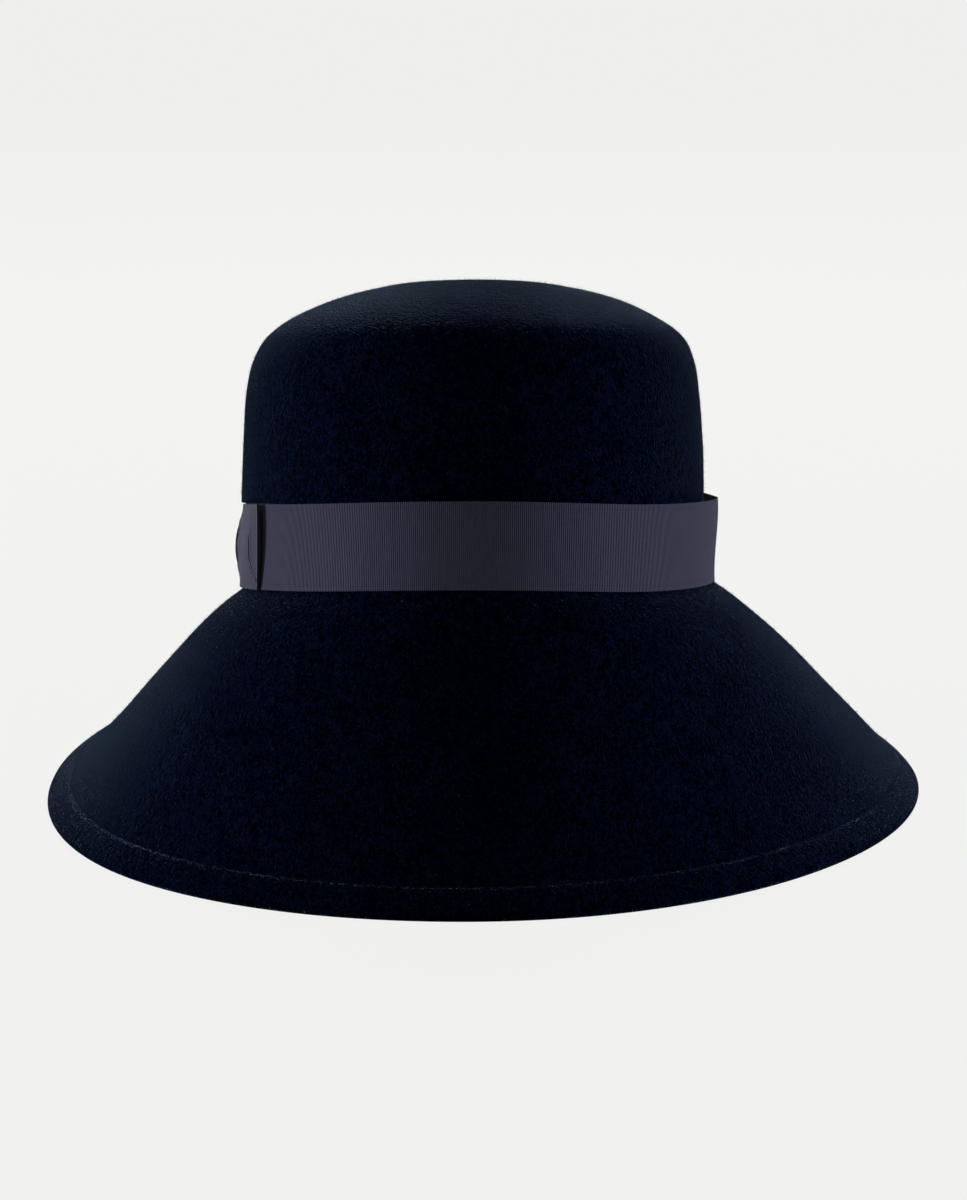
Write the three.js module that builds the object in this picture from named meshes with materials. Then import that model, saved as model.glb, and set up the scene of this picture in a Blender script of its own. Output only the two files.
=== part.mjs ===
// A wide-brim felt hat with a round crown, a grosgrain ribbon band and a flat side bow.
//
// Millimetres, +Z up. The hat rests on the edge of its brim, on the plane z = 0, with its
// front towards -Y. The origin is the middle of the hat's box on that plane.
// Azimuths are in degrees, from +X (0) over the back (90) and -X (180) to the front (270).

import * as THREE from "three";

const { degToRad: rad, lerp, smoothstep } = THREE.MathUtils;

// Felt: one blocked shell, its brim edge turned under and sewn down as a hem.
const FELT = 2; // wall
const HEM_WIDTH = 9.5;
const FOLD_RADIUS = FELT; // the hem is two layers of felt
const FLATTENED = 0.35; // how far the edge is pressed flat where it rests
const HALF_FLAT = Math.sqrt(FOLD_RADIUS ** 2 - (FOLD_RADIUS - FLATTENED) ** 2);

// Foot of the crown, outside: a superellipse, a little squarer than an ellipse.
const HEAD_HALF_WIDTH = 87;
const HEAD_HALF_LENGTH = 101.8;
const HEAD_POWER = 2.28;

// The crown leans back on the brim. Its base plane is where the crease between crown and
// brim would be if it were level; the point is that plane's middle, seen from the brim's.
const CROWN_LEAN = 11.7;
const CROWN_FOOT = new THREE.Vector3(0.3, -11.6, 77.2);

// Sections of the crown above the ribbon: height over the base plane, size as a share of
// the foot's oval, and how far the section's middle lies towards +X.
const CROWN_SECTIONS = [
  { height: 42, size: 0.9755, aside: 0 },
  { height: 55, size: 0.97, aside: 0 },
  { height: 72, size: 0.956, aside: 0 },
  { height: 84, size: 0.93, aside: 0.4 },
  { height: 92.5, size: 0.876, aside: 0.8 },
  { height: 99.5, size: 0.764, aside: 0.5 },
  { height: 105.5, size: 0.613, aside: 1 },
  { height: 109.5, size: 0.457, aside: 1.4 },
  { height: 112, size: 0.3, aside: 1 },
  { height: 113, size: 0.1, aside: 0.8 },
  { height: 113.1, size: 0, aside: 0.8 },
];
const WALL_TAPER = 0.00066; // loss of size per mm of height, below those sections
const CREASE_REACH = 3.5; // how far the round of the crease runs up the wall and out on the brim

// The brim's edge curve handles, as shares of the slope's length.
const HANDLE_AT_CROWN = 0.33;
const HANDLE_AT_EDGE = 0.255;

// Stations round the hat, 45 degrees apart, the first on +X.
//   reach   from the brim's middle to its edge
//   leave   slope below level where the brim leaves the crown, in degrees
//   arrive  slope below level at the edge, in degrees
//   crease  height of the crease over the crown's base plane
//   head    from the free wall out to the inner face of the ribbon, at its top edge;
//           below zero the ribbon is tight and presses the felt in
//   foot    the same at its bottom edge, where it clears the round of the crease
const STATIONS = [
  { side: "+X", reach: 168.6, leave: 33.5, arrive: 39, crease: 3.9, head: 4.2, foot: 1.4 },
  { side: "+X back", reach: 165.5, leave: 36, arrive: 36, crease: 9.5, head: 2.2, foot: 0.8 },
  { side: "back", reach: 166.7, leave: 35.5, arrive: 33, crease: 6, head: 0.3, foot: 0.4 },
  { side: "-X back", reach: 163.5, leave: 34.5, arrive: 27.5, crease: 4.5, head: -0.8, foot: -0.6 },
  { side: "-X", reach: 158.8, leave: 35, arrive: 29, crease: 1.5, head: -2.8, foot: -3.2 },
  { side: "-X front", reach: 167.8, leave: 42, arrive: 37.5, crease: 0.5, head: -0.8, foot: -0.8 },
  { side: "front", reach: 165.1, leave: 43, arrive: 35, crease: 1.3, head: 0, foot: 0.3 },
  { side: "+X front", reach: 164.2, leave: 39, arrive: 34.5, crease: 0.5, head: 1.2, foot: 0.5 },
];

// Ribbon
const RIBBON_WIDTH = 30;
const RIBBON = 1; // thickness
const GAP = 0.3; // between pieces that touch
const FOOT_CLEARANCE = 0.5; // from the crease up to the ribbon's bottom edge
const CREASE_FLARE = 1.1; // how far the round of the crease stands out from it there

// Bow, on the -X side: a ring of ribbon pressed flat, gathered in its middle by a keeper.
const BOW_AZIMUTH = 179;
const BOW_SPAN = 34; // degrees from its middle to the fold at each end
const BOW_GATHERED = 22; // height of the ring where the keeper holds it
const BOW_SPREAD = 6; // degrees over which it widens again, beside the keeper
const BOW_PUFF = 0.8; // between the ring's two layers at the folds
const BOW_LYING = 12; // degrees from its middle to where its ends begin to lift off the band
const BOW_LIFT = 1.9; // how far they do at their top edge
const BOW_LIFT_FOOT = 0.4; // and at their bottom edge
const KEEPER_SPAN = 4; // degrees from its middle to each of its edges
const MM_PER_DEGREE = 1.6; // along the side of the crown, at the folds

// The middles of the ring's two layers, out from the face of the band.
const RING_INNER = GAP + RIBBON / 2;
const RING_OUTER = RING_INNER + GAP + RIBBON; // in the middle of the bow
const RING_OUTER_AT_FOLD = RING_INNER + RIBBON + BOW_PUFF;

// Facets
const AROUND = 60;
const CROWN_STEPS = 11;
const CREASE_STEPS = 3;
const SLOPE_STEPS = 8;
const HEM_STEPS = 2;
const FOLD_STEPS = 2;
const BOW_STEP = 2; // degrees
const BOW_FOLD_STEPS = 4;
const RIBBON_SHARES = [0, 0.25, 0.5, 0.75, 1]; // heights of the corners across the ribbon

const azimuths = Array.from({ length: AROUND }, (_, i) => (i * 360) / AROUND);

// One column of the stations, read at any azimuth on a smooth closed curve through its rows.
function column(name) {
  const rows = STATIONS.map((row) => new THREE.Vector3(row[name], 0, 0));
  const curve = new THREE.CatmullRomCurve3(rows, true, "catmullrom");
  return (azimuth) => curve.getPoint((((azimuth % 360) + 360) % 360) / 360).x;
}
const reach = column("reach");
const leave = column("leave");
const arrive = column("arrive");
const crease = column("crease");
const head = column("head");
const foot = column("foot");

// ---------------------------------------------------------------------------------------
// The crown's own frame

const crownFrame = new THREE.Matrix4()
  .makeRotationX(-rad(CROWN_LEAN))
  .setPosition(CROWN_FOOT);

const signedPower = (x, power) => Math.sign(x) * Math.abs(x) ** power;

// A point at an azimuth of the crown: its oval's size, the height, a distance outwards, and
// how far the oval's middle lies aside.
function onCrown(azimuth, size, height, out, aside = 0) {
  const cos = Math.cos(rad(azimuth));
  const sin = Math.sin(rad(azimuth));
  const outwards = new THREE.Vector2(cos, (sin * HEAD_HALF_WIDTH) / HEAD_HALF_LENGTH).normalize();
  const x = size * HEAD_HALF_WIDTH * signedPower(cos, 2 / HEAD_POWER) + outwards.x * out;
  const y = size * HEAD_HALF_LENGTH * signedPower(sin, 2 / HEAD_POWER) + outwards.y * out;
  return new THREE.Vector3(x + aside, y, height).applyMatrix4(crownFrame);
}

const wallSize = (height) => 1 - WALL_TAPER * height;

// Height of the ribbon at a share of its width, from its bottom edge to its top edge.
const ribbonHeight = (azimuth, share) => crease(azimuth) + FOOT_CLEARANCE + share * RIBBON_WIDTH;

// The inner face of the ribbon there, out from the free wall.
function ribbonOut(azimuth, share) {
  return lerp(foot(azimuth), head(azimuth), smoothstep(share, 0, 1));
}

// How far the felt behind the ribbon stands out there: it only gives way inwards.
const wallOut = (azimuth, share) => Math.min(0, ribbonOut(azimuth, share) - GAP);

// ---------------------------------------------------------------------------------------
// Skins: closed surfaces from rings of points

// Joins rings, listed down the outside, into one surface facing out. A ring has any number
// of points, the same in each, or a single one, where the surface closes to a point.
function skin(rings) {
  const firsts = [];
  const points = [];
  for (const ring of rings) {
    firsts.push(points.length);
    points.push(...ring);
  }
  const around = Math.max(...rings.map((ring) => ring.length));
  const faces = [];
  for (let r = 0; r + 1 < rings.length; r += 1) {
    for (let i = 0; i < around; i += 1) {
      const corner = (ring, step) => firsts[ring] + ((i + step) % rings[ring].length);
      const [a, b, c, d] = [corner(r, 0), corner(r + 1, 0), corner(r + 1, 1), corner(r, 1)];
      if (a !== d) faces.push(a, b, d);
      if (b !== c) faces.push(b, c, d);
    }
  }
  const geometry = new THREE.BufferGeometry().setFromPoints(points);
  geometry.setIndex(faces);
  geometry.computeVertexNormals();
  return geometry;
}

// A closed band from its sections, all with the same number of corners.
function closedBand(sections) {
  const rings = sections[0].map((_, corner) => sections.map((section) => section[corner]));
  return skin([...rings, rings[0]]);
}

// A strip from its sections, closed at both ends.
function strip(sections) {
  const middle = (section) =>
    section
      .reduce((sum, corner) => sum.add(corner), new THREE.Vector3())
      .divideScalar(section.length);
  return skin([[middle(sections[0])], ...sections, [middle(sections.at(-1))]]);
}

// ---------------------------------------------------------------------------------------
// Felt body

// The outside of the crown at one azimuth, from the second ring down to the crease's round.
function crownLine(azimuth) {
  const sections = CROWN_SECTIONS.map((row) => new THREE.Vector3(row.size, row.aside, row.height));
  const free = new THREE.CatmullRomCurve3(sections.reverse(), false, "centripetal");
  const line = free
    .getPoints(CROWN_STEPS)
    .slice(1)
    .map((section) => onCrown(azimuth, section.x, section.z, 0, section.y));
  for (const share of RIBBON_SHARES.slice(1).reverse()) {
    const height = ribbonHeight(azimuth, share);
    line.push(onCrown(azimuth, wallSize(height), height, wallOut(azimuth, share)));
  }
  return line;
}

// The brim's outside at one azimuth: the round of the crease, the slope, the hem and the fold.
function brimLine(azimuth) {
  const out = ribbonOut(azimuth, 0) - GAP - CREASE_FLARE;
  const [corner, wall] = [0, CREASE_REACH].map((rise) => {
    const height = crease(azimuth) + rise;
    return onCrown(azimuth, wallSize(height), height, out);
  });

  const radial = new THREE.Vector3(Math.cos(rad(azimuth)), Math.sin(rad(azimuth)), 0);
  const foldCentre = radial.clone().multiplyScalar(reach(azimuth) - FOLD_RADIUS);
  foldCentre.z = FOLD_RADIUS - FLATTENED;
  const level = foldCentre.clone().sub(corner).setZ(0).normalize();
  const down = new THREE.Vector3(0, 0, -1);
  const slopeAt = (angle) =>
    level.clone().multiplyScalar(Math.cos(angle)).addScaledVector(down, Math.sin(angle));
  const leaving = slopeAt(rad(leave(azimuth)));
  const arriving = slopeAt(rad(arrive(azimuth)));
  const facing = slopeAt(rad(arrive(azimuth) - 90));

  const start = corner.clone().addScaledVector(leaving, CREASE_REACH);
  const end = foldCentre.clone().addScaledVector(facing, FOLD_RADIUS);
  const length = start.distanceTo(end);
  const round = new THREE.QuadraticBezierCurve3(wall, corner, start);
  const slope = new THREE.CubicBezierCurve3(
    start,
    start.clone().addScaledVector(leaving, HANDLE_AT_CROWN * length),
    end.clone().addScaledVector(arriving, -HANDLE_AT_EDGE * length),
    end,
  );
  const hemStart = 1 - HEM_WIDTH / slope.getLength();
  const outside = round.getPoints(CREASE_STEPS);
  for (let i = 1; i <= SLOPE_STEPS; i += 1) {
    outside.push(slope.getPointAt((hemStart * i) / SLOPE_STEPS));
  }
  for (let i = 1; i <= HEM_STEPS; i += 1) {
    outside.push(slope.getPointAt(hemStart + ((1 - hemStart) * i) / HEM_STEPS));
  }

  const touching = Math.acos((FLATTENED - FOLD_RADIUS) / FOLD_RADIUS) - rad(arrive(azimuth));
  const fold = [];
  for (let i = 1; i <= FOLD_STEPS; i += 1) {
    const angle = (touching * i) / (FOLD_STEPS + 1);
    fold.push(
      foldCentre
        .clone()
        .addScaledVector(facing, FOLD_RADIUS * Math.cos(angle))
        .addScaledVector(arriving, FOLD_RADIUS * Math.sin(angle)),
    );
  }
  for (const way of [1, -1]) {
    fold.push(foldCentre.clone().addScaledVector(level, way * HALF_FLAT).setZ(0));
  }
  return { outside, fold };
}

// Rings moved inwards from the surface through them by the felt they have there.
function inside(rings, thickness) {
  const normals = skin(rings).getAttribute("normal");
  let index = 0;
  return rings.map((ring, r) =>
    ring.map((point) => {
      const normal = new THREE.Vector3().fromBufferAttribute(normals, index);
      index += 1;
      return point.clone().addScaledVector(normal, -thickness(r));
    }),
  );
}

function feltBody() {
  const summit = CROWN_SECTIONS.at(-1);
  const top = onCrown(0, summit.size, summit.height, 0, summit.aside);
  const crownLines = azimuths.map(crownLine);
  const brimLines = azimuths.map(brimLine);
  const ringsOf = (lines) => lines[0].map((_, r) => lines.map((line) => line[r]));
  const outside = [
    [top],
    ...ringsOf(crownLines),
    ...ringsOf(brimLines.map((line) => line.outside)),
  ];
  const fold = ringsOf(brimLines.map((line) => line.fold));

  // The hem's rings lie under two layers of felt; where the hem begins there is one of each.
  const hemStart = outside.length - 1 - HEM_STEPS;
  const single = inside(outside, () => FELT).slice(0, hemStart + 1);
  const double = inside(outside, () => 2 * FELT).slice(hemStart, -1);
  return skin([...outside, ...fold, ...double.reverse(), ...single.reverse()]);
}

// ---------------------------------------------------------------------------------------
// Ribbon band and bow

// A point on the band: an azimuth, a share of its width, and a distance out of its inner face.
function onRibbon(azimuth, share, out) {
  const height = ribbonHeight(azimuth, share);
  return onCrown(azimuth, wallSize(height), height, ribbonOut(azimuth, share) + out);
}

function ribbonBand() {
  return closedBand(
    azimuths.map((azimuth) => [
      ...RIBBON_SHARES.map((share) => onRibbon(azimuth, share, 0)),
      ...RIBBON_SHARES.map((share) => onRibbon(azimuth, share, RIBBON)).reverse(),
    ]),
  );
}

// Turns from the bow's middle, in degrees, up to a span each way.
function turns(span) {
  const steps = Math.round(span / BOW_STEP);
  return Array.from({ length: 2 * steps + 1 }, (_, i) => (i - steps) * BOW_STEP);
}

// The ring of ribbon that makes both loops of the bow: along its outer layer to +azimuth,
// round the fold, back along its inner layer and round the other fold.
function bowRing() {
  const loose = (turn) => smoothstep(Math.abs(turn), KEEPER_SPAN, KEEPER_SPAN + BOW_SPREAD);

  // A section across the ribbon at a turn, its middle a distance out from where it would lie
  // flat on the band, facing an angle: 90 degrees is outwards, 0 along the azimuth.
  function section(turn, out, facing) {
    const half = lerp(BOW_GATHERED, RIBBON_WIDTH, loose(turn)) / 2 / RIBBON_WIDTH;
    const lifted = smoothstep(Math.abs(turn), BOW_LYING, BOW_SPAN);
    const corner = (side, share) => {
      const along = (side * Math.cos(facing) * RIBBON) / 2 / MM_PER_DEGREE;
      const lift = lifted * lerp(BOW_LIFT_FOOT, BOW_LIFT, share);
      const away = RIBBON + out + lift + (side * Math.sin(facing) * RIBBON) / 2;
      return onRibbon(BOW_AZIMUTH + turn + along, share, away);
    };
    return [
      corner(-1, 0.5 - half),
      corner(-1, 0.5 + half),
      corner(1, 0.5 + half),
      corner(1, 0.5 - half),
    ];
  }

  // Round the fold at one end of the bow, between the two layers.
  function fold(way) {
    const middle = (RING_OUTER_AT_FOLD + RING_INNER) / 2;
    const radius = (RING_OUTER_AT_FOLD - RING_INNER) / 2;
    const sections = [];
    for (let i = 1; i < BOW_FOLD_STEPS; i += 1) {
      const facing = Math.PI * (way / 2 - i / BOW_FOLD_STEPS);
      const turn = way * BOW_SPAN + (radius * Math.cos(facing)) / MM_PER_DEGREE;
      sections.push(section(turn, middle + radius * Math.sin(facing), facing));
    }
    return sections;
  }

  const outer = turns(BOW_SPAN).map((turn) =>
    section(turn, lerp(RING_OUTER, RING_OUTER_AT_FOLD, loose(turn)), rad(90)),
  );
  const inner = turns(BOW_SPAN).map((turn) => section(turn, RING_INNER, rad(-90)));
  return closedBand([...outer, ...fold(1), ...inner.reverse(), ...fold(-1)]);
}

// The keeper: a strip of ribbon down over the gathered middle of the bow, turned in to the
// band above and below it.
function bowKeeper() {
  // A section across the strip above (side 1) or below (-1) the bow's middle, where it faces
  // an angle: 0 is away from the bow's edge, 90 degrees outwards.
  function section(side, facing, out) {
    const line = (away) =>
      turns(KEEPER_SPAN).map((turn) => {
        const up = side * (BOW_GATHERED / 2 + away * Math.cos(facing));
        const share = 0.5 + up / RIBBON_WIDTH;
        return onRibbon(BOW_AZIMUTH + turn, share, RIBBON + out + away * Math.sin(facing));
      });
    return [...line(GAP + RIBBON), ...line(GAP).reverse()];
  }

  // From the band out over one edge of the bow and round its corner.
  const ringFace = RING_OUTER + RIBBON / 2;
  const over = (side) => [
    section(side, 0, GAP),
    ...[0, 45, 90].map((facing) => section(side, rad(facing), ringFace)),
  ];
  return strip([...over(1), ...over(-1).reverse()]);
}

const hat = new THREE.Group();
const felt = new THREE.MeshStandardMaterial({ color: 0x0b0d1c, roughness: 0.95, metalness: 0 });
const grosgrain = new THREE.MeshStandardMaterial({ color: 0x33323f, roughness: 0.6, metalness: 0 });

function piece(name, geometry, material) {
  const mesh = new THREE.Mesh(geometry, material);
  mesh.name = name;
  hat.add(mesh);
}

piece("felt_body", feltBody(), felt);
piece("ribbon_band", ribbonBand(), grosgrain);
piece("bow_ring", bowRing(), grosgrain);
piece("bow_keeper", bowKeeper(), grosgrain);

// The hat's origin is the middle of its box, on the plane that it rests on.
const box = new THREE.Box3().setFromObject(hat);
const middle = box.getCenter(new THREE.Vector3());
hat.position.set(-middle.x, -middle.y, -box.min.z);

export default hat;
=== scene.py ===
"""The looks of a wide-brim felt hat with a grosgrain ribbon band and a flat side bow.

Shapes are worked out in millimetres, +Z up, on the plane the hat rests on, with the middle
of the brim at the origin. place() moves them to the hat's frame, in metres. Azimuths are in
degrees, from +X (0) over the back (90) and the bow's side (180) to the front (270).
"""

import math
from types import SimpleNamespace

import bpy
import numpy as np
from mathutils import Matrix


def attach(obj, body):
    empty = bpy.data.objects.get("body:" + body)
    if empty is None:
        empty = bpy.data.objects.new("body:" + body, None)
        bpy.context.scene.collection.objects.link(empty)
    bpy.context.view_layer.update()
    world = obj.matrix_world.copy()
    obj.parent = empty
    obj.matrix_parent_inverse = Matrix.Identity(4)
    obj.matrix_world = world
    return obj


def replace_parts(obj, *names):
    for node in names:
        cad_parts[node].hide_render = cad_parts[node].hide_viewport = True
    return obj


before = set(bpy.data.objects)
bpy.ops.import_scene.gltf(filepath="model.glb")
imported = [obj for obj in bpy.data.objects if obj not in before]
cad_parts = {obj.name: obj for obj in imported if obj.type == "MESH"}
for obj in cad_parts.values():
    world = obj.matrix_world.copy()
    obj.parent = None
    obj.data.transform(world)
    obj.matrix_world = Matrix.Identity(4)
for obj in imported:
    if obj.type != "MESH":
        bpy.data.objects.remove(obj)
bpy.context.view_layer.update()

# ------------------------------------------------------------------------------------------
# Named sizes, in millimetres, as in the part's own source

BRIM_MIDDLE = (-4.908, -0.800)  # in the hat's frame

FELT = 2.0
HEM_WIDTH = 9.5
FOLD_RADIUS = FELT
FLATTENED = 0.35  # how far the fold at the brim's edge is pressed flat
HALF_FLAT = math.sqrt(FOLD_RADIUS**2 - (FOLD_RADIUS - FLATTENED) ** 2)

HEAD_HALF_WIDTH = 87.0
HEAD_HALF_LENGTH = 101.8
HEAD_POWER = 2.28

CROWN_LEAN = math.radians(11.7)
CROWN_FOOT = (0.3, -11.6, 77.2)
CROWN_SECTIONS = np.array(
    [  # height, size, aside
        (42, 0.9755, 0),
        (55, 0.97, 0),
        (72, 0.956, 0),
        (84, 0.93, 0.4),
        (92.5, 0.876, 0.8),
        (99.5, 0.764, 0.5),
        (105.5, 0.613, 1),
        (109.5, 0.457, 1.4),
        (112, 0.3, 1),
        (113, 0.1, 0.8),
        (113.1, 0, 0.8),
    ]
)
WALL_TAPER = 0.00066
CREASE_REACH = 3.5  # how far the crease's round reaches up the wall and down the slope
HANDLE_AT_CROWN = 0.33  # of the slope's curve, as shares of its span
HANDLE_AT_EDGE = 0.255

# Stations round the hat, 45 degrees apart, the first on +X.
STATION_COLUMNS = ("reach", "leave", "arrive", "crease", "head", "foot")
STATIONS = np.array(
    [
        (168.6, 33.5, 39, 3.9, 4.2, 1.4),  # +X
        (165.5, 36, 36, 9.5, 2.2, 0.8),
        (166.7, 35.5, 33, 6, 0.3, 0.4),  # back
        (163.5, 34.5, 27.5, 4.5, -0.8, -0.6),
        (158.8, 35, 29, 1.5, -2.8, -3.2),  # -X
        (167.8, 42, 37.5, 0.5, -0.8, -0.8),
        (165.1, 43, 35, 1.3, 0, 0.3),  # front
        (164.2, 39, 34.5, 0.5, 1.2, 0.5),
    ]
)

RIBBON_WIDTH = 30.0
RIBBON_FACE = 1.0  # the band's face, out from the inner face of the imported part's band
FOOT_CLEARANCE = 0.3  # of the ribbon's lower edge, above the crease
CREASE_FLARE = 0.6  # in all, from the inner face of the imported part's band

# Only in this script, whose cloth is as thin as real cloth.
CLOTH = 0.4
SLACK = 0.12  # between layers that touch
OUTER_RECOVERY = 0.3  # over the ribbon's edge, of the felt's outer and inner face
INNER_RECOVERY = 4.5
HEM_RELIEF = 0.6  # the height of the hem's roll, and the depth of its groove

# The bow. Its spans are in degrees round the hat, to each side of its middle.
BOW_AZIMUTH = 179.0
BOW_SPAN = 33.2
BOW_GATHERED = 22.0  # its width under the keeper
BOW_SPREAD = 6.0  # degrees past the keeper to where it has its whole width again
BOW_NOSE = 1.2  # degrees by which the folds bulge along the band, halfway up
BOW_LYING = 12.0  # degrees from its middle to where its ends begin to lift off the band
BOW_LIFT = 1.9  # how far they do, at their top edge
BOW_LIFT_FOOT = 0.4  # and at their bottom edge
BOW_BELLY = 1.1  # how far its layers part towards the ends, halfway up
BOW_HELD = 2.0  # and under the keeper
GATHERS = 3.2 * math.pi  # radians of their wave, from the bow's middle line to its edge
GATHER_DEPTH = 0.14
PLEAT_DEPTH = 0.4
CRIMP_HEIGHT = 0.8
CRIMP_WIDTH = 0.45  # degrees
DEGREE = 1.6  # mm along the band for a degree, at the bow's ends

KEEPER_SPAN = 4.0
KEEPER_WIDTH = 19.0
KEEPER_BULGE = 2.1
KEEPER_BEND = 0.9  # radius of its turn down over the bow's edges

STITCH_PITCH = 4.4
STITCH_LENGTH = 3.0
STITCH_ROOT = 0.42  # how deep in the felt its ends are
STITCH_RISE = 0.5  # how far its middle is above its ends
THREAD = 0.36

NAP_FIBRES = 48000
NAP_WIDTH = 0.12
NAP_ROOT = 0.15
NAP_LENGTHS = (0.4, 1.4)
NAP_SLOPES = (0.5, 1.4)  # radians from standing upright

# Points round the felt, the band, each layer of the bow, and each fold at its ends.
AROUND = 300
BAND_AROUND = 480
BOW_ALONG = 260
BOW_FOLD = 10

# Rings down the felt, apart from those in the hem.
CROWN_RINGS = 64  # through CROWN_SECTIONS, with the summit
ABOVE_RIBBON = (0.75, 0.5, 0.3, 0.15, 0.07, 0.04, 0.02)  # shares of the way up to the first
BEHIND_RIBBON = 12
CREASE_RINGS = 8
SLOPE_RINGS = 41
FOLD_RINGS = 7
NO_NAP = (BEHIND_RIBBON + 5, 1)  # rings before and after the crease without loose fibres
NO_SWELLS = (BEHIND_RIBBON + 6, 4)  # and without swells


# ------------------------------------------------------------------------------------------
# The hat's own maths


def column(name):
    """A column of the stations as a smooth function of the azimuth."""
    rows = STATIONS[:, STATION_COLUMNS.index(name)]

    def read(azimuth):
        place_in = (np.asarray(azimuth, float) % 360) / 45
        i = np.floor(place_in).astype(int)
        f = place_in - i
        before, here, after, later = (rows[(i + step) % 8] for step in (-1, 0, 1, 2))
        return 0.5 * (
            2 * here
            + (after - before) * f
            + (2 * before - 5 * here + 4 * after - later) * f**2
            + (3 * here - before - 3 * after + later) * f**3
        )

    return read


reach, leave, arrive, crease, head, foot = (column(name) for name in STATION_COLUMNS)


def smoothstep(x, low, high):
    t = np.clip((np.asarray(x, float) - low) / (high - low), 0, 1)
    return t * t * (3 - 2 * t)


def signed_power(x, power):
    return np.sign(x) * np.abs(x) ** power


def points(x, y, z):
    return np.stack(np.broadcast_arrays(x, y, z), -1)


def unit(v):
    return v / np.linalg.norm(v, axis=-1, keepdims=True)


def on_crown(azimuth, size, height, out, aside=0.0):
    """Points on the crown: azimuth, the size of its oval there, height and distance outwards."""
    a = np.radians(azimuth)
    cos, sin = np.cos(a), np.sin(a)
    outwards = unit(points(cos, sin * HEAD_HALF_WIDTH / HEAD_HALF_LENGTH, 0))
    x = size * HEAD_HALF_WIDTH * signed_power(cos, 2 / HEAD_POWER) + outwards[..., 0] * out
    y = size * HEAD_HALF_LENGTH * signed_power(sin, 2 / HEAD_POWER) + outwards[..., 1] * out
    lean_cos, lean_sin = math.cos(CROWN_LEAN), math.sin(CROWN_LEAN)
    return points(
        x + aside + CROWN_FOOT[0],
        y * lean_cos + height * lean_sin + CROWN_FOOT[1],
        height * lean_cos - y * lean_sin + CROWN_FOOT[2],
    )


def wall_size(height):
    return 1 - WALL_TAPER * height


def ribbon_height(azimuth, share):
    return crease(azimuth) + FOOT_CLEARANCE + share * RIBBON_WIDTH


def ribbon_face(azimuth, share):
    """The outer face of the band, out from the free wall."""
    low, high = foot(azimuth), head(azimuth)
    return low + (high - low) * smoothstep(share, 0, 1) + RIBBON_FACE


def on_band(azimuth, share, out):
    """A point at a distance out from the band's face."""
    height = ribbon_height(azimuth, share)
    return on_crown(azimuth, wall_size(height), height, ribbon_face(azimuth, share) + out)


def waves(p, length, seed):
    """Smooth unevenness between about -1 and 1, of that wavelength, from a fixed seed."""
    rng = np.random.default_rng(seed)
    total = np.zeros(p.shape[:-1])
    for _ in range(6):
        direction = unit(rng.normal(size=3))
        turn = 2 * math.pi / (length * rng.uniform(0.75, 1.4))
        total += np.sin(p @ direction * turn + rng.uniform(0, 2 * math.pi))
    return total / 3


def grid_normals(rings):
    """Normals of a surface of rings closed round, listed down the outside."""
    across = np.roll(rings, -1, 1) - np.roll(rings, 1, 1)
    down = np.gradient(rings, axis=0)
    return unit(np.cross(down, across))


# ------------------------------------------------------------------------------------------
# Meshes


def place(p):
    """From the brim's middle, in mm, to the hat's frame, in metres."""
    return (np.asarray(p) + (*BRIM_MIDDLE, 0)) / 1000


def make_piece(name, vertices, faces, uvs, material, sharp):
    mesh = bpy.data.meshes.new(name)
    mesh.from_pydata(place(vertices).tolist(), [], faces)
    if uvs is not None:
        layer = mesh.uv_layers.new(name="cloth")
        layer.data.foreach_set("uv", np.asarray(uvs, float).ravel() / 1000)
    mesh.validate()
    mesh.shade_smooth()
    mesh.set_sharp_from_angle(angle=math.radians(sharp))
    mesh.materials.append(material)
    piece = bpy.data.objects.new(name, mesh)
    bpy.context.scene.collection.objects.link(piece)
    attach(piece, "root")
    return piece


def loft(rings, around_closed=True, along_closed=False, uv=None):
    """Quads between rings listed down the outside: (vertices, faces, uvs per face corner)."""
    rows, width = rings.shape[:2]
    faces, uvs = [], []
    for r in range(rows if along_closed else rows - 1):
        below = (r + 1) % rows
        for i in range(width if around_closed else width - 1):
            after = (i + 1) % width
            here, under = r * width, below * width
            faces.append((here + i, under + i, under + after, here + after))
            if uv is not None:
                uvs += [uv[r, i], uv[r + 1, i], uv[r + 1, i + 1], uv[r, i + 1]]
    return rings.reshape(-1, 3), faces, uvs if uv is not None else None


def cap(faces, ring_start, width, apex, outwards_down):
    """Triangles from a ring to a single point."""
    for i in range(width):
        a, b = ring_start + i, ring_start + (i + 1) % width
        faces.append((a, b, apex) if outwards_down else (b, a, apex))


# ------------------------------------------------------------------------------------------
# Felt


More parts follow.
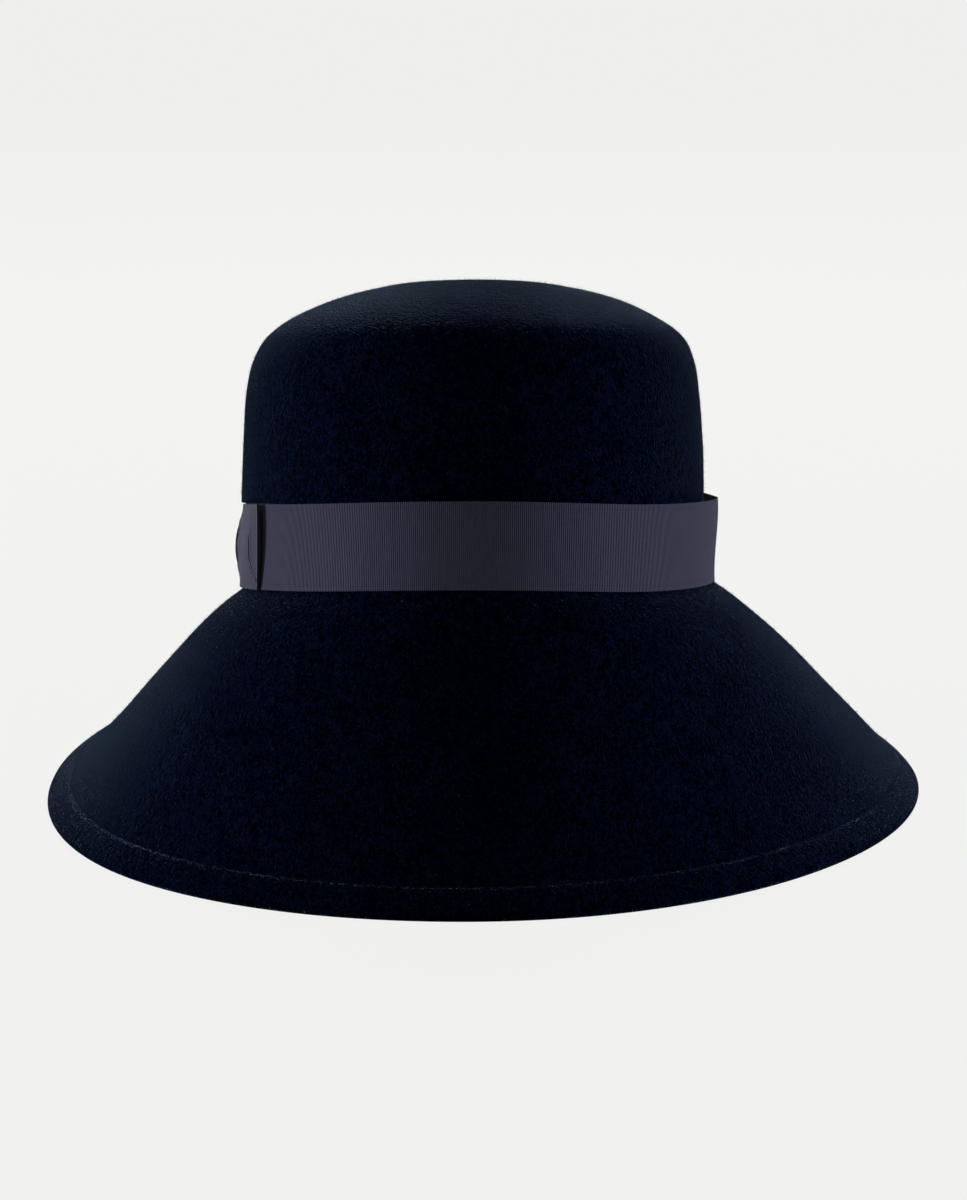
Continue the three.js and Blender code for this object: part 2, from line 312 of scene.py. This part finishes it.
def centripetal(rows, count):
    """Points on a centripetal Catmull-Rom curve through rows, evenly spaced along it."""
    ends = [2 * rows[0] - rows[1], *rows, 2 * rows[-1] - rows[-2]]
    dense = []
    for p0, p1, p2, p3 in zip(ends, ends[1:], ends[2:], ends[3:]):
        d0, d1, d2 = (math.sqrt(np.linalg.norm(b - a)) for a, b in ((p0, p1), (p1, p2), (p2, p3)))
        m1 = ((p1 - p0) / d0 - (p2 - p0) / (d0 + d1) + (p2 - p1) / d1) * d1
        m2 = ((p2 - p1) / d1 - (p3 - p1) / (d1 + d2) + (p3 - p2) / d2) * d1
        for t in np.linspace(0, 1, 40, endpoint=False):
            dense.append(
                (2 * t**3 - 3 * t**2 + 1) * p1
                + (t**3 - 2 * t**2 + t) * m1
                + (3 * t**2 - 2 * t**3) * p2
                + (t**3 - t**2) * m2
            )
    dense = np.array([*dense, rows[-1]])
    scaled = dense * (1, HEAD_HALF_WIDTH, 1)
    length = np.r_[0, np.cumsum(np.linalg.norm(np.diff(scaled, axis=0), axis=1))]
    even = np.linspace(0, length[-1], count)
    return np.stack([np.interp(even, length, dense[:, k]) for k in range(3)], -1)


def crown_rings(azimuth, recovery):
    """The crown from the ring round its summit down to the crease's round.

    recovery is how far over the ribbon's edge the felt that it draws in is free again.
    """
    top = ribbon_height(azimuth, 1)
    drawn = behind_ribbon(azimuth, 1)

    def above(height, size, aside=0.0):
        out = drawn * np.exp(-(((height - top) / recovery) ** 2))
        return on_crown(azimuth, size, height, out, aside)

    rings = [above(*section) for section in centripetal(CROWN_SECTIONS, CROWN_RINGS)[::-1][1:]]
    lowest, lowest_size, _ = CROWN_SECTIONS[0]
    for step in ABOVE_RIBBON:
        height = top + (lowest - top) * step
        rings.append(above(height, lowest_size + (wall_size(top) - lowest_size) * (1 - step)))
    for share in np.linspace(1, 0.12, BEHIND_RIBBON):
        height = ribbon_height(azimuth, share)
        rings.append(on_crown(azimuth, wall_size(height), height, behind_ribbon(azimuth, share)))
    return rings


def behind_ribbon(azimuth, share):
    """How far the felt stands out behind the ribbon: it only gives way inwards."""
    room = ribbon_face(azimuth, share) - CLOTH - SLACK
    return np.where(room < 0, room, 0) - 0.15 * np.exp(-((room / 0.6) ** 2))


def bezier(*ends):
    """A Bezier curve for each azimuth: its points, and how far along it each of them is."""
    t = np.linspace(0, 1, 160)[:, None, None]
    if len(ends) == 3:
        a, b, c = ends
        curve = (1 - t) ** 2 * a + 2 * t * (1 - t) * b + t**2 * c
    else:
        a, b, c, d = ends
        curve = (1 - t) ** 3 * a + 3 * t * (1 - t) ** 2 * b + 3 * t**2 * (1 - t) * c + t**3 * d
    steps = np.linalg.norm(np.diff(curve, axis=0), axis=2)
    return curve, np.concatenate([np.zeros((1, curve.shape[1])), np.cumsum(steps, 0)])


def along(curve, length, wanted):
    """Points at wanted distances along curves, a column of distances for each azimuth."""
    out = np.empty((*wanted.shape, 3))
    for i in range(curve.shape[1]):
        for k in range(3):
            out[:, i, k] = np.interp(wanted[:, i], length[:, i], curve[:, i, k])
    return out


# Distances from the brim's edge of the rings in the hem, up to just past its raw edge.
BY_THE_STITCHES = np.array([3.5, 2.4, 1.9, 1.3, 0.9, 0.6, 0.3, 0, -0.3, -0.6, -0.9, -1.4])
HEM_RINGS = np.array([*(HEM_WIDTH + BY_THE_STITCHES), 7, 5.8, 4.5, 3.2, 2, 1, 0])
RAW_EDGE = HEM_WIDTH + 1.9  # from the brim's edge, on the underside


def brim_rings(azimuth):
    """Rings of the brim's outside: (round of the crease and slope, hem, fold)."""
    out = ribbon_face(azimuth, 0) - RIBBON_FACE - CREASE_FLARE
    corner, wall = (
        on_crown(azimuth, wall_size(crease(azimuth) + rise), crease(azimuth) + rise, out)
        for rise in (0, CREASE_REACH)
    )
    radial = points(np.cos(np.radians(azimuth)), np.sin(np.radians(azimuth)), 0)
    centre = radial * (reach(azimuth) - FOLD_RADIUS)[:, None]
    centre[:, 2] = FOLD_RADIUS - FLATTENED
    level = centre - corner
    level[:, 2] = 0
    level = unit(level)

    def slope_at(angle):
        return level * np.cos(angle)[:, None] - points(0, 0, np.sin(angle))

    leaving = slope_at(np.radians(leave(azimuth)))
    arriving = slope_at(np.radians(arrive(azimuth)))
    facing = slope_at(np.radians(arrive(azimuth) - 90))
    start = corner + leaving * CREASE_REACH
    end = centre + facing * FOLD_RADIUS
    span = np.linalg.norm(end - start, axis=1)[:, None]

    curve, length = bezier(wall, corner, start)
    steps = np.linspace(0, 1, CREASE_RINGS, endpoint=False)[:, None] * length[-1]
    rings = [*along(curve, length, steps)]

    handles = (start + leaving * HANDLE_AT_CROWN * span, end - arriving * HANDLE_AT_EDGE * span)
    curve, length = bezier(start, *handles, end)
    above_hem = length[-1] - HEM_RINGS[0] - 1.5
    steps = np.linspace(0, 1, SLOPE_RINGS, endpoint=False)[:, None] * above_hem
    rings += [*along(curve, length, steps)]
    hem = [*along(curve, length, length[-1] - HEM_RINGS[:, None])]

    touching = np.arccos((FLATTENED - FOLD_RADIUS) / FOLD_RADIUS) - np.radians(arrive(azimuth))
    fold = []
    for share in np.linspace(0, 1, FOLD_RINGS + 2)[1:-1]:
        angle = (touching * share)[:, None]
        fold.append(centre + FOLD_RADIUS * (facing * np.cos(angle) + arriving * np.sin(angle)))
    for way in (1, -1):
        flat = centre + level * way * HALF_FLAT
        flat[:, 2] = 0
        fold.append(flat)
    return rings, hem, fold


def hem_profile(distance):
    """How far the hem stands proud at a distance from the brim's edge: a roll and a groove."""
    roll = HEM_RELIEF * np.sin(np.clip(distance / HEM_WIDTH, 0, 1) * math.pi) ** 0.8
    groove = HEM_RELIEF * np.exp(-(((distance - HEM_WIDTH) / 0.75) ** 2))
    return roll - groove


def felt_rings():
    """The felt's rings down its outside, round the fold, and up its inside."""
    azimuth = np.arange(AROUND) * 360 / AROUND
    slope, hem, fold = brim_rings(azimuth)
    faces = [
        np.array([*crown_rings(azimuth, recovery), *slope, *hem])
        for recovery in (OUTER_RECOVERY, INNER_RECOVERY)
    ]
    first_hem = len(faces[0]) - len(hem)
    first_slope = first_hem - len(slope)

    # Blocked felt is never quite even: low swells, none at the resting edge or the ribbon.
    free = np.ones(len(faces[0]))
    free[first_slope - NO_SWELLS[0] : first_slope + NO_SWELLS[1]] = 0
    free[first_hem:] = smoothstep(HEM_RINGS, 0, 40)
    free = np.convolve(np.pad(free, 4, mode="edge"), np.ones(9) / 9, mode="valid")
    normals = grid_normals(faces[1])
    swell = 0.3 * waves(faces[1], 95, 3) + 0.16 * waves(faces[1], 38, 8)
    uneven = normals * (swell * free[:, None])[..., None]
    uneven[first_hem:] += normals[first_hem:] * hem_profile(HEM_RINGS)[:, None, None]
    outside, smooth = (face + uneven for face in faces)

    normals = grid_normals(smooth)
    raw = first_hem + int(np.argmin(abs(HEM_RINGS - RAW_EDGE)))
    single = smooth[: raw + 1] - normals[: raw + 1] * FELT
    double = smooth[raw:-1] - normals[raw:-1] * 2 * FELT
    inside = np.array([*double[::-1], *single[::-1]])
    return SimpleNamespace(
        outside=outside,
        normals=grid_normals(outside),
        fold=np.array(fold),
        inside=inside,
        first_slope=first_slope,
        first_hem=first_hem,
    )


def felt_piece(felt, material):
    rings = np.concatenate([felt.outside, felt.fold, felt.inside])
    vertices, faces, _ = loft(rings)
    summit = CROWN_SECTIONS[-1]
    top = on_crown(0, summit[1], summit[0], 0, summit[2])
    under = on_crown(0, summit[1], summit[0] - FELT, 0, summit[2])
    count = len(vertices)
    vertices = np.concatenate([vertices, [top, under]])
    cap(faces, 0, AROUND, count, True)
    cap(faces, count - AROUND, AROUND, count + 1, False)
    return make_piece("felt_shell", vertices, faces, None, material, sharp=50)


def nap_piece(felt, material):
    """Loose fibres that stand out of the felt's face, as thin closed spikes."""
    rng = np.random.default_rng(11)
    outside, normals = felt.outside, felt.normals
    above_ribbon, below_ribbon = felt.first_slope - NO_NAP[0], felt.first_slope + NO_NAP[1]
    rows = np.r_[0:above_ribbon, below_ribbon : len(outside) - 1]
    beside = np.roll(outside, -1, 1)[rows] - outside[rows]
    below = outside[rows + 1] - outside[rows]
    area = np.linalg.norm(np.cross(beside, below), axis=-1)
    cell = rng.choice(area.size, NAP_FIBRES, p=(area / area.sum()).ravel())
    row, i = rows[cell // AROUND], cell % AROUND
    share = rng.uniform(size=(2, NAP_FIBRES, 1))

    def within(grid):
        near = grid[row, i] * (1 - share[0]) + grid[row, (i + 1) % AROUND] * share[0]
        far = grid[row + 1, i] * (1 - share[0]) + grid[row + 1, (i + 1) % AROUND] * share[0]
        return near * (1 - share[1]) + far * share[1]

    base, normal = within(outside), unit(within(normals))
    lean = unit(np.cross(normal, rng.normal(size=(NAP_FIBRES, 3))))
    side = np.cross(normal, lean)
    length = rng.uniform(*NAP_LENGTHS, (NAP_FIBRES, 1))
    slope = rng.uniform(*NAP_SLOPES, (NAP_FIBRES, 1))
    tip = base + length * (normal * np.cos(slope) + lean * np.sin(slope))
    feet = [
        base - normal * NAP_ROOT + NAP_WIDTH / 2 * (lean * math.cos(turn) + side * math.sin(turn))
        for turn in (0, 2 * math.pi / 3, 4 * math.pi / 3)
    ]
    vertices = np.stack([*feet, tip], 1).reshape(-1, 3)
    corners = [(0, 2, 1), (0, 1, 3), (1, 2, 3), (2, 0, 3)]
    faces = [tuple(4 * k + c for c in face) for k in range(NAP_FIBRES) for face in corners]
    return make_piece("felt_nap", vertices, faces, None, material, sharp=180)


# ------------------------------------------------------------------------------------------
# Ribbon: band, bow and keeper


def arc_length(path, closed=False):
    """Distance along a path of points, from 0; closed adds the step back to the first."""
    if closed:
        path = np.concatenate([path, path[:1]])
    return np.r_[0, np.cumsum(np.linalg.norm(np.diff(path, axis=0), axis=1))]


def cloth_piece(name, middle, widths, closed, material):
    """A strip of ribbon from its middle surface (along, across, 3) and its width coordinates."""
    if closed:
        ahead, behind = np.roll(middle, -1, 0), np.roll(middle, 1, 0)
    else:
        ahead = np.concatenate([middle[1:], middle[-1:]])
        behind = np.concatenate([middle[:1], middle[:-1]])
    normals = unit(np.cross(ahead - behind, np.gradient(middle, axis=1)))
    face = middle + normals * CLOTH / 2
    back = middle - normals * CLOTH / 2
    rings = np.concatenate([face, back[:, ::-1]], axis=1).transpose(1, 0, 2)
    u = arc_length(middle[:, middle.shape[1] // 2], closed)
    v = np.concatenate([widths, widths[::-1], widths[:1]])
    uv = np.stack(np.broadcast_arrays(u, v[:, None]), -1)
    vertices, faces, uvs = loft(rings, closed, True, uv)
    if not closed:
        count = rings.shape[1]
        for i in range(len(widths) - 1):
            far = len(rings) - 1 - i
            for end, flip in ((0, False), (count - 1, True)):
                corners = tuple(row * count + end for row in (i, i + 1, far - 1, far))
                faces.append(corners[::-1] if flip else corners)
                uvs += [(0, 0)] * 4
    return make_piece(name, vertices, faces, uvs, material, sharp=60)


# Places across the ribbon, close together at its edges and at the selvedge's groove.
SELVEDGE = 2.0
ACROSS = np.array([0, 0.25, 0.8, 1.4, 1.8, 2.0, 2.2, 2.6, 3.4, 5, 7.5, 10, 12.5, 15])
ACROSS = np.concatenate([ACROSS, (RIBBON_WIDTH - ACROSS[:-1])[::-1]])


def selvedge(across):
    """Relief of the ribbon's face: a shallow groove inside each edge."""
    inside = np.minimum(across, RIBBON_WIDTH - across)
    return -0.07 * np.exp(-(((inside - SELVEDGE) / 0.28) ** 2))


def band_piece(material):
    azimuth = BOW_AZIMUTH + np.arange(BAND_AROUND)[:, None] * 360 / BAND_AROUND
    share = ACROSS / RIBBON_WIDTH
    ripple = 0.12 * waves(on_band(azimuth, share, 0), 60, 21)
    middle = on_band(azimuth, share, ripple + selvedge(ACROSS) - CLOTH / 2)
    return cloth_piece("ribbon_cloth", middle, ACROSS, True, material)


def bow_end(up):
    """Degrees from the bow's middle to the folds at its ends."""
    return BOW_SPAN + BOW_NOSE * (1 - up**2)


def bow_loose(turn):
    """From 0 under the keeper to 1 where the bow has its whole width again."""
    return smoothstep(np.abs(turn), KEEPER_SPAN - 1, KEEPER_SPAN + BOW_SPREAD)


def bow_inner(turn, up):
    """Middle of the bow's inner layer, out from the band, which its ends stand off."""
    lift = BOW_LIFT - (BOW_LIFT - BOW_LIFT_FOOT) * ((1 - up) / 2) ** 2
    return SLACK + CLOTH / 2 + lift * smoothstep(np.abs(turn), BOW_LYING, BOW_SPAN)


def bow_pleats(turn, up):
    """The gathers that run out from under the keeper, as relief of the bow's outer layer."""
    beside = np.abs(turn) - KEEPER_SPAN
    fading = smoothstep(beside, 0.3, 2.5) * np.exp(-np.maximum(beside, 0) / 5)
    return PLEAT_DEPTH * (1 + np.cos(up * GATHERS)) * fading


def bow_gap(turn, up):
    """From the inner to the outer layer, middle to middle. It closes again at the folds."""
    belly = np.cos(up * math.pi / 2) ** 1.2
    swell = smoothstep(np.abs(turn), 8, BOW_SPAN - 7)
    nose = smoothstep(np.abs(turn), BOW_SPAN - 3.5, BOW_SPAN)
    puff = 0.1 * swell + BOW_BELLY * belly * (swell - 0.75 * nose)
    held = BOW_HELD * (1 - up**2) + GATHER_DEPTH * np.cos(up * GATHERS)
    return CLOTH + SLACK + puff + held * (1 - bow_loose(turn)) + bow_pleats(turn, up)


def bow_crimp(turn, up):
    """A soft ridge pressed into the front end of the bow, curving in to its fold lower down."""
    from_fold = 3.6 * (1 - np.clip((-0.15 - up) / 0.62, 0, 1) ** 2) + 0.3
    ridge = np.exp(-(((bow_end(up) - from_fold - turn) / CRIMP_WIDTH) ** 2))
    return CRIMP_HEIGHT * ridge * smoothstep(up, -0.9, -0.6) * (1 - smoothstep(up, 0.15, 0.5))


def on_bow(turn, up, out):
    """A point over the band, up from -1 at the bow's bottom edge to 1 at its top edge."""
    half = (BOW_GATHERED + (RIBBON_WIDTH - BOW_GATHERED) * bow_loose(turn)) / 2 / RIBBON_WIDTH
    return on_band(BOW_AZIMUTH + turn, 0.5 + up * half, out)


def bow_piece(material):
    across = np.union1d(ACROSS, np.arange(3, 27.5, 0.5))
    up = 2 * across / RIBBON_WIDTH - 1
    relief = selvedge(across)
    radius = {way: bow_gap(way * BOW_SPAN, up) / 2 for way in (1, -1)}
    rows = []
    for way in (1, -1):
        front, back = (way * (bow_end(up) - radius[side] / DEGREE) for side in (way, -way))
        # Along one layer, then round the fold at its end.
        for share in np.linspace(0, 1, BOW_ALONG):
            turn = -back + (front + back) * share
            face = bow_gap(turn, up) + relief + bow_crimp(turn, up)
            rows.append(on_bow(turn, up, bow_inner(turn, up) + (face if way > 0 else -relief)))
        middle = bow_inner(front, up) + bow_gap(front, up) / 2
        for angle in np.linspace(math.pi / 2, -math.pi / 2, BOW_FOLD + 2)[1:-1]:
            turn = front + way * radius[way] * math.cos(angle) / DEGREE
            rows.append(on_bow(turn, up, middle + way * radius[way] * math.sin(angle)))
    return cloth_piece("bow_cloth", np.array(rows), across, True, material)


def keeper_piece(material):
    across = np.linspace(-1, 1, 17)
    high = BOW_GATHERED / 2 + SLACK + CLOTH / 2
    corner = 2.5 * CLOTH + 3 * SLACK  # over both layers of the bow
    bend = KEEPER_BEND
    path = [(high, out) for out in np.linspace(0.1, corner - bend, 3)[:-1]]
    path += [
        (high - bend * (1 - math.cos(a)), corner - bend * (1 - math.sin(a)))
        for a in np.linspace(0, math.pi / 2, 7)[:-1]
    ]
    path += [(height, corner) for height in np.linspace(high - bend, 0, 9)]
    path += [(-height, out) for height, out in path[-2::-1]]
    pressed = 0.12 * across**4
    rows = []
    for height, out in path:
        swell = max(0, 1 - (height / (high - bend)) ** 2) if out > corner - bend else 0
        share = 0.5 + height / RIBBON_WIDTH
        away = out + KEEPER_BULGE * swell - pressed
        rows.append(on_band(BOW_AZIMUTH + across * KEEPER_SPAN, share, away))
    widths = (across + 1) * KEEPER_WIDTH / 2
    return cloth_piece("keeper_cloth", np.array(rows)[::-1], widths, False, material)


# ------------------------------------------------------------------------------------------
# The row of stitches that holds the hem


def thread_run(base, normals, seed, vertices, faces):
    """Add stitches along a closed line on the felt, their ends sunk into it."""
    rng = np.random.default_rng(seed)
    length = arc_length(base, closed=True)
    loop = np.concatenate([base, base[:1]])
    up = np.concatenate([normals, normals[:1]])
    count = round(length[-1] / STITCH_PITCH)
    sides, sections = 6, 9

    def at(line, distance):
        distance %= length[-1]
        return np.array([np.interp(distance, length, line[:, i]) for i in range(3)])

    for k in range(count):
        start = (k + rng.uniform(-0.03, 0.03)) * length[-1] / count
        size = STITCH_LENGTH * rng.uniform(0.94, 1.06)
        skew = rng.uniform(-0.09, 0.09)
        first = len(vertices)
        for j in range(sections):
            share = j / (sections - 1)
            here = start + size * share
            centre, normal = at(loop, here), unit(at(up, here))
            forward = unit(at(loop, here + 0.5) - centre)
            sideways = np.cross(forward, normal)
            rise = STITCH_RISE * math.sin(math.pi * share) ** 0.45 - STITCH_ROOT
            centre = centre + normal * rise + sideways * skew * (share - 0.5) * size
            thin = 0.55 + 0.45 * math.sin(math.pi * share) ** 0.5
            for side in range(sides):
                turn = 2 * math.pi * side / sides
                spoke = sideways * math.cos(turn) + normal * math.sin(turn)
                vertices.append(centre + spoke * THREAD / 2 * thin)
        for j in range(sections - 1):
            for side in range(sides):
                a, b = first + j * sides + side, first + j * sides + (side + 1) % sides
                faces.append((a, b, b + sides, a + sides))
        faces.append(tuple(first + side for side in range(sides))[::-1])
        last = first + (sections - 1) * sides
        faces.append(tuple(last + side for side in range(sides)))


def stitch_piece(felt, material):
    row = felt.first_hem + int(np.argmin(abs(HEM_RINGS - HEM_WIDTH)))
    line, normals = felt.outside[row], felt.normals[row]
    vertices, faces = [], []
    thread_run(line, normals, 5, vertices, faces)
    thread_run(line - normals * 2 * FELT, -normals, 6, vertices, faces)
    return make_piece("hem_stitches", vertices, faces, None, material, sharp=80)


# ------------------------------------------------------------------------------------------
# Materials


class Nodes:
    """Short ways to add shader nodes to a material."""

    def __init__(self, name):
        self.material = bpy.data.materials.new(name)
        self.material.use_nodes = True
        self.tree = self.material.node_tree
        self.shader = self.tree.nodes["Principled BSDF"]

    def link(self, source, target):
        self.tree.links.new(source, target)

    def set(self, socket, value):
        if isinstance(value, bpy.types.NodeSocket):
            self.link(value, socket)
        else:
            socket.default_value = value

    def scaled(self, vector, scale):
        node = self.tree.nodes.new("ShaderNodeMapping")
        self.link(vector, node.inputs["Vector"])
        node.inputs["Scale"].default_value = scale
        return node.outputs["Vector"]

    def coords(self, scale=(1, 1, 1)):
        coordinates = self.tree.nodes.new("ShaderNodeTexCoord")
        return self.scaled(coordinates.outputs["Object"], scale)

    def noise(self, vector, scale, detail=2.0, rough=0.5, distortion=0.0):
        node = self.tree.nodes.new("ShaderNodeTexNoise")
        self.link(vector, node.inputs["Vector"])
        node.inputs["Scale"].default_value = scale
        node.inputs["Detail"].default_value = detail
        node.inputs["Roughness"].default_value = rough
        node.inputs["Distortion"].default_value = distortion
        return node.outputs["Fac"]

    def matt(self, colour, roughness=1.0, specular=0.0, sheen=0.0, sheen_roughness=0.5):
        """Set the shader: the colour may vary over the surface, the others are plain numbers."""
        self.set(self.shader.inputs["Base Color"], colour)
        for name, number in (
            ("Roughness", roughness),
            ("Specular IOR Level", specular),
            ("Sheen Weight", sheen),
            ("Sheen Roughness", sheen_roughness),
        ):
            self.shader.inputs[name].default_value = number

    def math(self, operation, a, b=0.0, clamp=False):
        node = self.tree.nodes.new("ShaderNodeMath")
        node.operation = operation
        node.use_clamp = clamp
        self.set(node.inputs[0], a)
        self.set(node.inputs[1], b)
        return node.outputs[0]

    def spread(self, value, low, high, to_low=0.0, to_high=1.0):
        node = self.tree.nodes.new("ShaderNodeMapRange")
        self.set(node.inputs["Value"], value)
        for name, number in zip(
            ("From Min", "From Max", "To Min", "To Max"), (low, high, to_low, to_high)
        ):
            node.inputs[name].default_value = number
        return node.outputs["Result"]

    def mix(self, factor, a, b):
        node = self.tree.nodes.new("ShaderNodeMix")
        node.data_type = "RGBA"
        self.set(node.inputs["Factor"], factor)
        self.set(node.inputs["A"], a)
        self.set(node.inputs["B"], b)
        return node.outputs["Result"]

    def bump(self, height, distance, strength=1.0):
        node = self.tree.nodes.new("ShaderNodeBump")
        self.set(node.inputs["Height"], height)
        node.inputs["Distance"].default_value = distance
        node.inputs["Strength"].default_value = strength
        self.link(node.outputs["Normal"], self.shader.inputs["Normal"])


def felt_material():
    """Navy-black wool felt: matted tufts with a soft sheen, and a mottled tone that is partly its
    own and partly painted shade between the fibres.
    """
    m = Nodes("wool_felt")
    tufts = m.noise(m.coords(), 1250, distortion=0.3)
    brushed = m.noise(m.coords((1, 1, 0.4)), 1300)
    clouds = m.noise(m.coords(), 60, detail=3, distortion=0.3)
    clumps = m.noise(m.coords(), 420, distortion=0.5)
    fine = m.math("ADD", m.math("MULTIPLY", tufts, 0.45), m.math("MULTIPLY", brushed, 0.25))
    depth = m.math("ADD", fine, m.math("MULTIPLY", clumps, 0.3))
    patches = m.spread(clouds, 0.3, 0.7, 0.7, 1.15)
    # Partly painted shade: the tone darkens in the bump's hollows, standing in for the shade
    # between the fibres as well as the felt's own uneven tone.
    tone = m.math("MULTIPLY", m.spread(depth, 0.43, 0.62), patches, clamp=True)
    colour = m.mix(tone, (0.0, 0.0, 0.0003, 1), (0.0004, 0.0011, 0.0044, 1))
    m.matt(colour, sheen=0.065, sheen_roughness=0.1)
    m.shader.inputs["Sheen Tint"].default_value = (0.55, 0.76, 1.0, 1)
    m.bump(depth, 0.0022)
    return m.material


def nap_material():
    """Loose fibres on the felt, a little lighter than the mat under them."""
    m = Nodes("loose_fibres")
    strands = m.spread(m.noise(m.coords(), 400), 0.35, 0.65)
    m.matt(m.mix(strands, (0.0025, 0.0035, 0.007, 1), (0.008, 0.0105, 0.017, 1)))
    return m.material


RIB_PITCH = 0.00068  # in metres, as all lengths in materials


def ribbon_material(name, sheen, sheen_roughness):
    """Dull grosgrain: fine ribs across the ribbon, and a darker line inside each selvedge."""
    m = Nodes(name)
    uv = m.tree.nodes.new("ShaderNodeUVMap")
    uv.uv_map = "cloth"
    split = m.tree.nodes.new("ShaderNodeSeparateXYZ")
    m.link(uv.outputs["UV"], split.inputs["Vector"])
    lengthwise, across = split.outputs["X"], split.outputs["Y"]
    ribs = m.math("SINE", m.math("MULTIPLY", lengthwise, 2 * math.pi / RIB_PITCH))
    yarn = m.noise(m.coords(), 1300)
    uneven = m.noise(m.scaled(uv.outputs["UV"], (1, 0.08, 1)), 700, detail=3, rough=0.7)
    from_middle = m.math("ABSOLUTE", m.math("SUBTRACT", across, RIBBON_WIDTH / 2000))
    edge_line = m.math("COMPARE", from_middle, (RIBBON_WIDTH / 2 - SELVEDGE) / 1000)
    edge_line.node.inputs[2].default_value = 0.00022
    height = m.math("ADD", m.math("MULTIPLY", ribs, 0.5), m.math("MULTIPLY", yarn, 0.5))
    lines, streaks = m.spread(ribs, -1, 1, 0.33, 0.62), m.spread(uneven, 0.3, 0.7, -0.25, 0.25)
    tone = m.math("ADD", lines, streaks)
    tone = m.math("SUBTRACT", tone, m.math("MULTIPLY", edge_line, 0.3), clamp=True)
    colour = m.mix(tone, (0.0054, 0.0053, 0.0113, 1), (0.0086, 0.0085, 0.0174, 1))
    m.matt(colour, 0.75, 0.02, sheen, sheen_roughness)
    m.bump(height, 0.0004)
    return m.material


def thread_material():
    """The hem's sewing thread, a little lighter than the felt."""
    m = Nodes("sewing_thread")
    twist = m.noise(m.coords(), 2600, distortion=2.0)
    m.matt(m.mix(twist, (0.0004, 0.0006, 0.0016, 1), (0.0012, 0.0016, 0.0034, 1)), 0.85, 0.01)
    m.bump(twist, 0.0001, 0.5)
    return m.material


# ------------------------------------------------------------------------------------------
# Camera, floor and light


CAMERA_PLACE = (-0.00069, -1.1136, 0.329)
CAMERA_DOWN = 13.09
LENS = 91.31
FLOOR_REACH = 30
LIGHT_AIM = (0, 0, 0.1)


def add_camera():
    data = bpy.data.cameras.new("camera")
    data.sensor_fit = "VERTICAL"
    data.sensor_height = 36
    data.lens = LENS
    data.clip_end = 100
    camera = bpy.data.objects.new("camera", data)
    camera.location = CAMERA_PLACE
    camera.rotation_euler = (math.radians(90 - CAMERA_DOWN), 0, 0)
    bpy.context.scene.collection.objects.link(camera)
    bpy.context.scene.camera = camera


def add_floor():
    """A pale studio floor that glows evenly, so that only a faint shadow shows on it."""
    m = Nodes("pale_floor")
    grain = m.noise(m.coords(), 3)
    m.matt(m.mix(grain, (0.006, 0.006, 0.006, 1), (0.0063, 0.0063, 0.0063, 1)))
    m.shader.inputs["Emission Color"].default_value = (1.0, 1.0, 0.982, 1)
    m.shader.inputs["Emission Strength"].default_value = 0.855
    mesh = bpy.data.meshes.new("floor")
    far = FLOOR_REACH
    corners = [(-far, -far, 0), (far, -far, 0), (far, far, 0), (-far, far, 0)]
    mesh.from_pydata(corners, [], [(0, 1, 2, 3)])
    mesh.materials.append(m.material)
    floor = bpy.data.objects.new("floor", mesh)
    bpy.context.scene.collection.objects.link(floor)


def add_light(name, stands_at, size, power):
    data = bpy.data.lights.new(name, "AREA")
    data.shape = "RECTANGLE"
    data.size, data.size_y = size
    data.energy = power
    light = bpy.data.objects.new(name, data)
    light.location = stands_at
    x, y, z = np.array(LIGHT_AIM) - np.array(stands_at)
    tilt = math.pi / 2 - math.atan2(-z, math.hypot(x, y))
    light.rotation_euler = (tilt, 0, math.atan2(y, x) - math.pi / 2)
    bpy.context.scene.collection.objects.link(light)


def add_world():
    world = bpy.data.worlds.new("studio")
    bpy.context.scene.world = world
    world.use_nodes = True
    background = world.node_tree.nodes["Background"]
    background.inputs["Color"].default_value = (0.887, 0.887, 0.871, 1)
    background.inputs["Strength"].default_value = 1.0


def add_stage():
    add_camera()
    add_floor()
    add_world()
    add_light("left", (-1.9, -0.08, 0.2), (0.6, 0.36), 210)
    add_light("right", (1.9, -0.08, 0.2), (0.6, 0.36), 175)
    add_light("top", (0, 1.65, 1.95), (1.4, 0.9), 275)
    bpy.context.scene.view_settings.view_transform = "Standard"


# ------------------------------------------------------------------------------------------
# The hat in its studio

add_stage()
wool = felt_material()
grosgrain = ribbon_material("grosgrain", 0.07, 0.1)
pressed = ribbon_material("pressed_grosgrain", 0.2, 0.15)  # shinier from the iron
felt = felt_rings()
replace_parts(felt_piece(felt, wool), "felt_body")
nap_piece(felt, nap_material())
band = band_piece(grosgrain)
bow = bow_piece(pressed)
keeper = keeper_piece(pressed)
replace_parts(band, "ribbon_band")
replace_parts(bow, "bow_ring")
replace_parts(keeper, "bow_keeper")
stitch_piece(felt, thread_material())
